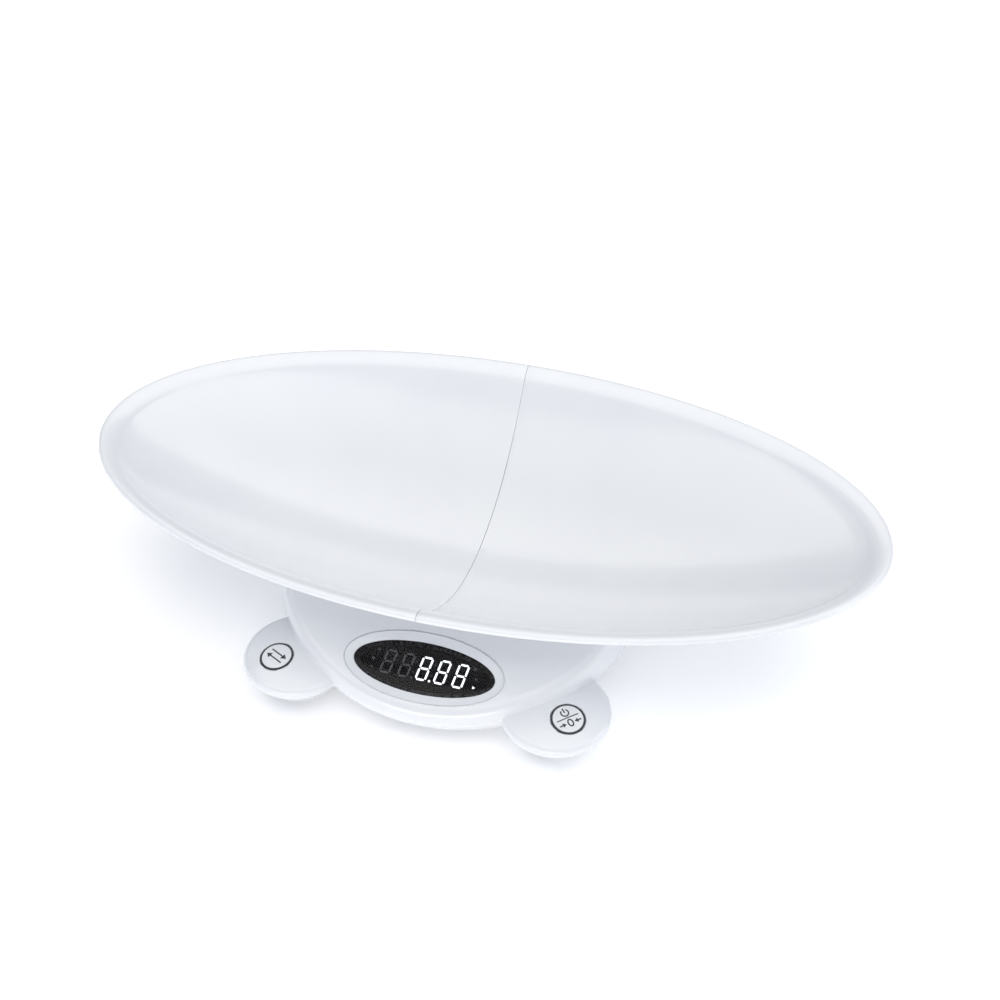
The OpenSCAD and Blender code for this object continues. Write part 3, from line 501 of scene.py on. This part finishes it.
def shell_distance(x, y, z):
    """The upper housing as it is moulded: form, cradle, bores and wells, open round the window."""
    form = body_distance(x, y, z)
    cradle = belly_distance(x, y, z, TRAY_WALL + CRADLE_GAP)
    outer = soft_max(form, -cradle, CRADLE_BLEND)
    fx, fy, fz = on_fascia(x, y, z)
    far = oval_distance(fx, fy, WINDOW_A + MOAT_W, WINDOW_B + MOAT_W)
    # Wells for the tray's posts and bores for the buttons
    ax = np.abs(x)
    wells = [np.hypot(ax - px, y - TRAY_Y - py) for px, py in POSTS]
    well = np.minimum(np.minimum(wells[0], wells[1]), wells[2])
    outer = soft_max(outer, -np.maximum(well - POST_R - 0.4, POST_SEAT - z), WELL_BLEND)
    centre, way = button_axes(1)
    dx, dy, dz = ax - centre[0], y - centre[1], z - centre[2]
    up = dx * way[0] + dy * way[1] + dz * way[2]
    bore = np.sqrt(np.maximum(dx**2 + dy**2 + dz**2 - up**2, 0))
    hollow = np.maximum(form + BASE_WALL, -(cradle - BASE_WALL))
    hollow = np.maximum(hollow, -np.maximum(well - POST_R - 2.4, POST_SEAT - 2 - z))
    hollow = np.maximum(hollow, -np.maximum(bore - BUTTON_R - 3, ROOF_LOW - 5 - up))
    shell = np.maximum(outer, -hollow)
    gap = np.maximum(bore - BUTTON_R - BUTTON_GAP, ROOF_LOW - 3 - up)
    shell = soft_max(shell, -gap, EDGE_BLEND)
    flange = np.maximum(np.maximum(bore - BUTTON_R - 1.7, up - ROOF_LOW), ROOF_LOW - 8 - up)
    shell = np.maximum(shell, -flange)
    shell = np.maximum(shell, -np.maximum(far - COLLAR_W, np.abs(fz) - 20))
    return soft_max(shell, PARTING_H - z, EDGE_BLEND)


def skin(field, low, high, step):
    """Surface of a distance field: one point a cell, drawn onto the surface, and its normals."""
    axes = [np.arange(low[i], high[i] + step, step) for i in range(3)]
    x, y, z = np.meshgrid(*axes, indexing="ij", sparse=True)
    value = field(x, y, z)
    shape = np.array(value.shape)
    cells = shape - 1
    inside = value < 0
    sums = np.zeros((int(np.prod(cells)), 3))
    hits = np.zeros(int(np.prod(cells)))
    quads = []
    strides = np.array([cells[1] * cells[2], cells[2], 1])
    for axis in range(3):
        first = [slice(None)] * 3
        second = [slice(None)] * 3
        first[axis], second[axis] = slice(0, -1), slice(1, None)
        a, b = value[tuple(first)], value[tuple(second)]
        ia = inside[tuple(first)]
        where = np.argwhere(ia != inside[tuple(second)])
        va, vb = a[tuple(where.T)], b[tuple(where.T)]
        spot = where.astype(float)
        spot[:, axis] += va / (va - vb)
        others = [i for i in range(3) if i != axis]
        if axis == 1:
            others.reverse()
        ring = []
        keep = np.ones(len(where), bool)
        for da, db in ((-1, -1), (0, -1), (0, 0), (-1, 0)):
            cell_at = where.copy()
            cell_at[:, others[0]] += da
            cell_at[:, others[1]] += db
            keep &= ((cell_at >= 0) & (cell_at < cells)).all(axis=1)
            ring.append(cell_at)
        for cell_at in ring:
            flat = cell_at[keep] @ strides
            for i in range(3):
                sums[:, i] += np.bincount(flat, spot[keep][:, i], len(hits))
            hits += np.bincount(flat, minlength=len(hits))
        quad = np.stack([(c[keep] @ strides) for c in ring], axis=1)
        flip = ~ia[tuple(where.T)][keep]
        quad[flip] = quad[flip][:, ::-1]
        quads.append(quad)
    used = np.flatnonzero(hits)
    number = np.full(len(hits), -1)
    number[used] = np.arange(len(used))
    points = sums[used] / hits[used][:, None] * step + np.array(low)
    start = points.copy()
    for turn in range(4):
        slope = np.stack([
            field(*(points + d).T) - field(*(points - d).T) for d in np.eye(3) * SLOPE_STEP
        ], axis=1) / (2 * SLOPE_STEP)
        size = np.maximum((slope**2).sum(axis=1), SLOPE_LOW)
        normals = slope / np.sqrt(size)[:, None]
        if turn < 3:
            points = points - (field(*points.T) / size)[:, None] * slope
            points = np.clip(points, start - DRAWN_MAX * step, start + DRAWN_MAX * step)
    normals /= np.maximum(np.linalg.norm(normals, axis=1), 1e-9)[:, None]
    faces = number[np.concatenate(quads)]
    return points, faces.tolist(), normals


def oval_ring(a, b, z, steps):
    """One ring of an oval in the fascia's axes, drawn in the frame's."""
    turn = 2 * math.pi * np.arange(steps) / steps
    c, sn = math.cos(FASCIA_SLOPE), math.sin(FASCIA_SLOPE)
    y = b * np.sin(turn)
    return np.stack([a * np.cos(turn), BASE_Y - WINDOW_FWD + y * c - z * sn,
                     FASCIA_H + y * sn + z * c], 1)


# The moat's section from the fascia in to the window's seat: distance out from the window, height
MOAT_RINGS = [(MOAT_W + 1.0 - 0.4 * i, -0.022 * i**2) for i in range(5)]
MOAT_RINGS += [(MOAT_W * (0.8 - 0.7 * i / 6), -0.5 - 0.76 * i / 6) for i in range(7)]
MOAT_RINGS += [(0.3, -MOAT_DEPTH - 0.03), (0.17, -MOAT_DEPTH - 0.2), (0.15, -MOAT_DEPTH - WINDOW_T),
               (-3, -MOAT_DEPTH - WINDOW_T), (-3, -MOAT_DEPTH - WINDOW_T - 1.5),
               (MOAT_W + COLLAR_W, -MOAT_DEPTH - WINDOW_T - 1.5)]
OVAL_STEPS = 240


def base_shell():
    """The shell, with the moat drawn exactly and joined to it by flat faces in the fascia."""
    low = (-POD_SIDE - POD_R - 2.3, BASE_Y - POD_SIDE - POD_R - 2.3, PARTING_H - 1.7)
    high = (POD_SIDE + POD_R + 2, BASE_Y + BASE_R + 4, 84)
    points, faces, normals = skin(shell_distance, low, high, CELL)
    # The opening's own wall is left out: the collar's last ring takes its place
    fx, fy, fz = on_fascia(*points.T)
    edge = oval_distance(fx, fy, WINDOW_A + MOAT_W, WINDOW_B + MOAT_W)
    gone = (edge < COLLAR_W + CUT_SPARE) & (np.abs(fz) < CUT_DEEP)
    faces = [f for f in faces if not gone[f].any()]
    kept = np.unique(np.concatenate(faces))
    number = np.full(len(points), -1)
    number[kept] = np.arange(len(kept))
    points, normals = points[kept], normals[kept]
    faces = [number[f].tolist() for f in faces]
    start = len(points)
    rings = [oval_ring(WINDOW_A + d, WINDOW_B + d, z, OVAL_STEPS) for d, z in MOAT_RINGS]
    points = np.concatenate([points] + rings)
    for i in range(len(rings) - 1):
        a = start + i * OVAL_STEPS
        for k in range(OVAL_STEPS):
            n = (k + 1) % OVAL_STEPS
            faces.append([a + k, a + OVAL_STEPS + k, a + OVAL_STEPS + n, a + n])
    made = piece("base_shell", points, faces, housing_abs, "base", ["upper_housing"])
    work = bmesh.new()
    work.from_mesh(made.data)
    work.verts.ensure_lookup_table()
    # The flat gap between the shell's edge and the moat's first ring
    up_way = Vector((0, -math.sin(FASCIA_SLOPE), math.cos(FASCIA_SLOPE)))
    spot = Vector((0, BASE_Y - WINDOW_FWD, FASCIA_H)) * MM
    rim = [e for e in work.edges if e.is_boundary
           and all(abs((v.co - spot).dot(up_way)) < RIM_NEAR * MM for v in e.verts)]
    bmesh.ops.triangle_fill(work, use_beauty=True, use_dissolve=False, edges=rim, normal=up_way)
    work.to_mesh(made.data)
    work.free()
    made.data.shade_smooth()
    # The collar takes its faces' own normals: a zero vector leaves them as they are
    own = np.zeros((len(made.data.vertices), 3))
    own[:start] = normals
    made.data.normals_split_custom_set_from_vertices(own.tolist())
    return made


# ---- display -----------------------------------------------------------------------------------


def fascia_matrix():
    """Places a piece made in the fascia's axes into the frame, in metres."""
    return Matrix.Translation(Vector((0, BASE_Y - WINDOW_FWD, FASCIA_H)) * MM) @ Matrix.Rotation(
        FASCIA_SLOPE, 4, "X"
    )


def put(obj, matrix):
    obj.data.transform(matrix)
    return obj


def window():
    """The smoked lens: polished face with a rounded edge, lying in the moat."""
    low, high = -MOAT_DEPTH - WINDOW_T, -MOAT_DEPTH
    edge = []
    for i in range(6):
        a = math.radians(90 * i / 5)
        edge.append((0.6 * (1 - math.cos(a)), high - 0.6 * (1 - math.sin(a))))
    points, faces = [], []
    steps = 160
    inset = [(4, low), (0.3, low), (0.0, low + 0.3)] + edge
    rows = []
    for d, z in inset:
        rows.append([((WINDOW_A - d) * math.cos(2 * math.pi * k / steps),
                      (WINDOW_B - d) * math.sin(2 * math.pi * k / steps), z) for k in range(steps)])
    for f in (0.9, 0.7, 0.45, 0.2):
        a, b = WINDOW_A - 0.6, WINDOW_B - 0.6
        rows.append([(a * f * math.cos(2 * math.pi * k / steps),
                      b * f * math.sin(2 * math.pi * k / steps), high) for k in range(steps)])
    for r in rows:
        points += r
    for i in range(len(rows) - 1):
        for k in range(steps):
            a, b, n = i * steps + k, (i + 1) * steps + k, (k + 1) % steps
            faces.append((a, i * steps + n, (i + 1) * steps + n, b))
    faces.append(list(range(steps))[::-1])
    faces.append([(len(rows) - 1) * steps + k for k in range(steps)])
    made = piece("window", points, faces, smoke, "base", ["display_window"])
    # The flanks and a border under the lens are printed black
    made.data.materials.append(black_print)
    for k, face in enumerate(made.data.polygons):
        face.material_index = 1 if k < 2 * steps else 0
    return put(made, fascia_matrix())


# ---- buttons -----------------------------------------------------------------------------------


def button_matrix(side):
    """Places a piece made about a button's axis, z = 0 at the dome's centre."""
    centre, way = button_axes(side)
    x_way = np.array([side, -1, 0]) / math.sqrt(2)
    x_way = x_way - way * (x_way @ way)
    x_way /= np.linalg.norm(x_way)
    y_way = np.cross(way, x_way)
    m = Matrix.Identity(4)
    for i in range(3):
        m[i][0], m[i][1], m[i][2], m[i][3] = x_way[i], y_way[i], way[i], centre[i] * MM
    return m


def dome_z(r, lift=0.0):
    return math.sqrt(POD_DOME_R**2 - r * r) + lift


def button_cap(side, name):
    """The white face inside the ring and the skirt below it, with its flange."""
    inner = BUTTON_R - RING_W
    top = [(inner * f, dome_z(inner * f)) for f in (0.97, 0.85, 0.7, 0.5, 0.25)]
    profile = [
        (0, ROOF_LOW - 1.1), (BUTTON_R - 0.2, ROOF_LOW - 1.1), (BUTTON_R + 1.1, ROOF_LOW - 1.1),
        (BUTTON_R + 1.1, ROOF_LOW - 0.15), (BUTTON_R, ROOF_LOW - 0.15),
        (BUTTON_R, dome_z(BUTTON_R) - RING_T), (inner, dome_z(inner) - RING_T),
        (inner, dome_z(inner) - 0.12), (inner - 0.12, dome_z(inner)),
    ] + top + [(0, dome_z(0))]
    points, faces = lathe(profile, 96)
    made = piece(name, points, faces, button_abs, BODY[side], [BODY[side]])
    made.data.set_sharp_from_angle(angle=math.radians(35))
    return put(made, button_matrix(side))


def button_ring(side, name):
    """The dark ring let into the button's edge, its top rounded over."""
    inner, outer = BUTTON_R - RING_W + 0.03, BUTTON_R
    section = [(inner, dome_z(inner) - RING_T + 0.03), (outer, dome_z(outer) - RING_T + 0.03),
               (outer, dome_z(outer) - 0.2), (outer - 0.15, dome_z(outer) - 0.02),
               (inner + 0.15, dome_z(inner) + 0.0), (inner, dome_z(inner) - 0.08)]
    steps = 96
    points = [(r * math.cos(2 * math.pi * k / steps), r * math.sin(2 * math.pi * k / steps), z)
              for r, z in section for k in range(steps)]
    count = len(section)
    faces = [(i * steps + k, i * steps + (k + 1) % steps,
              ((i + 1) % count) * steps + (k + 1) % steps, ((i + 1) % count) * steps + k)
             for i in range(count) for k in range(steps)]
    made = piece(name, points, faces, ring_ink, BODY[side], [BODY[side] + "_ring"])
    made.data.set_sharp_from_angle(angle=math.radians(50))
    return put(made, button_matrix(side))


def stroke(points, width, closed=False):
    """A flat band of even width along points, as an outline of left and right points."""
    pts = [np.array(p, float) for p in points]
    n = len(pts)
    left, right = [], []
    for i in range(n):
        before = pts[i - 1] if (i > 0 or closed) else None
        after = pts[(i + 1) % n] if (i < n - 1 or closed) else None
        runs = [pts[i] - before] if before is not None else []
        runs += [after - pts[i]] if after is not None else []
        ways = [run / np.linalg.norm(run) for run in runs]
        way = sum(ways) / np.linalg.norm(sum(ways))
        across = np.array([-way[1], way[0]])
        grow = 1 / max(across @ np.array([-ways[0][1], ways[0][0]]), 0.5)
        left.append(pts[i] + across * grow * width / 2)
        right.append(pts[i] - across * grow * width / 2)
    count = n if closed else n - 1
    return [(left[i], right[i], right[(i + 1) % n], left[(i + 1) % n]) for i in range(count)]


def arc(radius, start, end, steps, centre=(0, 0)):
    return [(centre[0] + radius * math.cos(math.radians(start + (end - start) * i / steps)),
             centre[1] + radius * math.sin(math.radians(start + (end - start) * i / steps)))
            for i in range(steps + 1)]


def button_print(side, name, quads, turn):
    """Ink printed on a button's face: thin, following the dome."""
    c, s = math.cos(math.radians(turn)), math.sin(math.radians(turn))
    points, faces = [], []
    for quad in quads:
        # Long quads are cut so that they follow the dome
        a, b, d, e = [np.array(q, float) for q in quad]
        cuts = max(1, int(np.linalg.norm(e - a) / PRINT_RUN))
        for i in range(cuts):
            f, g = i / cuts, (i + 1) / cuts
            ring = [a + (e - a) * f, b + (d - b) * f, b + (d - b) * g, a + (e - a) * g]
            base = len(points)
            for lift in (PRINT_UP, PRINT_DOWN):
                for p in ring:
                    x, y = p[0] * c - p[1] * s, p[0] * s + p[1] * c
                    points.append((x, y, dome_z(math.hypot(x, y), lift)))
            faces.append((base, base + 1, base + 2, base + 3))
            faces.append((base + 7, base + 6, base + 5, base + 4))
            for k in range(4):
                n = (k + 1) % 4
                faces.append((base + n, base + k, base + 4 + k, base + 4 + n))
    made = piece(name, points, faces, print_ink, BODY[side])
    made.data.shade_flat()
    return put(made, button_matrix(side))


def arrow(tip, tail, size):
    tip, tail = np.array(tip, float), np.array(tail, float)
    way = (tip - tail) / np.linalg.norm(tip - tail)
    across = np.array([-way[1], way[0]])
    head = tip - way * size
    side = across * size * HEAD_W
    return stroke([tail, head], LINE) + [(tip, head + side, head - side, tip)]


def unit_mark():
    """Two arrows, one each way: change over."""
    return arrow((7.6, 2.3), (-7.2, 2.3), 3.8) + arrow((-7.6, -2.3), (7.2, -2.3), 3.8)


def tare_mark():
    """Power sign over a line, and under it an arrow to a nought from each side."""
    sign = stroke(arc(2.7, 128, 412, 22, (0, 4.9)), LINE) + stroke([(0, 4.9), (0, 8.7)], LINE)
    line = stroke([(-8.2, 0.7), (8.2, 0.7)], 0.8)
    nought = stroke([(1.7 * math.cos(math.radians(a)), -3.6 + 2.6 * math.sin(math.radians(a)))
                     for a in range(0, 360, 15)], LINE, closed=True)
    arrows = arrow((-3, -3.6), (-8.2, -3.6), 2.8) + arrow((3, -3.6), (8.2, -3.6), 2.8)
    return sign + line + nought + arrows


# ---- build -------------------------------------------------------------------------------------

tray_half(-1, "tray_half_left")
tray_half(1, "tray_half_right")
base_shell()
window()
for side, word in ((-1, "unit"), (1, "tare")):
    button_cap(side, word + "_cap")
    button_ring(side, word + "_ring")
button_print(-1, "unit_print", unit_mark(), 108)
button_print(1, "tare_print", tare_mark(), 88)


# ---- floor, light and camera -------------------------------------------------------------------


def floor():
    """A light table: white opal acrylic, faintly lit from below so that shadows stay pale."""
    mesh = bpy.data.meshes.new("floor")
    mesh.from_pydata([(-6, -6, 0), (6, -6, 0), (6, 6, 0), (-6, 6, 0)], [], [(0, 1, 2, 3)])
    obj = bpy.data.objects.new("floor", mesh)
    bpy.context.scene.collection.objects.link(obj)
    made, tree, surface = finish_of(
        "opal_acrylic", Roughness=0.9, Specular_IOR_Level=0.1, Emission_Strength=0.2
    )
    mottle(tree, surface, "#fdfdfd", "#ffffff", 400)
    surface.inputs["Emission Color"].default_value = srgb("#ffffff")
    dress(obj, made)


def light(name, place, aim, size, watts, colour):
    data = bpy.data.lights.new(name, "AREA")
    data.shape = "RECTANGLE"
    data.size, data.size_y = size
    data.energy = watts
    data.color = srgb(colour)[:3]
    obj = bpy.data.objects.new(name, data)
    bpy.context.scene.collection.objects.link(obj)
    obj.location = place
    obj.rotation_euler = (Vector(aim) - Vector(place)).to_track_quat("-Z", "Y").to_euler()


def world_light():
    """A dim cool fill from all round, behind a backdrop that is pale in every view."""
    world = bpy.data.worlds.new("studio")
    bpy.context.scene.world = world
    world.use_nodes = True
    tree = world.node_tree
    fill = tree.nodes["Background"]
    fill.inputs["Color"].default_value = srgb("#b4c9f2")
    fill.inputs["Strength"].default_value = 0.22
    backdrop = add(tree, "ShaderNodeBackground", {"Color": srgb("#f8f9fb"), "Strength": 1.0})
    seen = add(tree, "ShaderNodeLightPath").outputs["Is Camera Ray"]
    both = add(tree, "ShaderNodeMixShader")
    for source, target in ((seen, 0), (fill.outputs[0], 1), (backdrop.outputs[0], 2)):
        tree.links.new(source, both.inputs[target])
    tree.links.new(both.outputs[0], tree.nodes["World Output"].inputs["Surface"])


def camera():
    data = bpy.data.cameras.new("camera")
    data.lens, data.sensor_width = 48.9, 36
    data.clip_end = 20
    obj = bpy.data.objects.new("camera", data)
    bpy.context.scene.collection.objects.link(obj)
    forward = Vector((-0.2017, 0.7238, -0.6600)).normalized()
    right = Vector((0.9633, 0.2684, 0)).normalized()
    up = right.cross(forward)
    obj.matrix_world = Matrix((
        (right.x, up.x, -forward.x, 0.22019), (right.y, up.y, -forward.y, -0.71701),
        (right.z, up.z, -forward.z, 0.75091), (0, 0, 0, 1),
    ))
    bpy.context.scene.camera = obj


floor()
light("top", (0, 0.6, 3.0), (0, 0.5, 0), (5, 5), 134, "#fffcf4")
light("front", (0, -2.8, 0.5), (0, -0.1, 0.05), (2.4, 0.7), 30, "#fffaf0")
light("right", (2.6, 0.2, 0.9), (0, 0, 0.1), (1.6, 1.6), 21, "#f6f8ff")
light("left_low", (-1.6, -2.2, 0.6), (0, 0, 0.05), (1.6, 0.8), 9, "#dfe9ff")
world_light()
camera()
bpy.context.scene.view_settings.view_transform = "Standard"
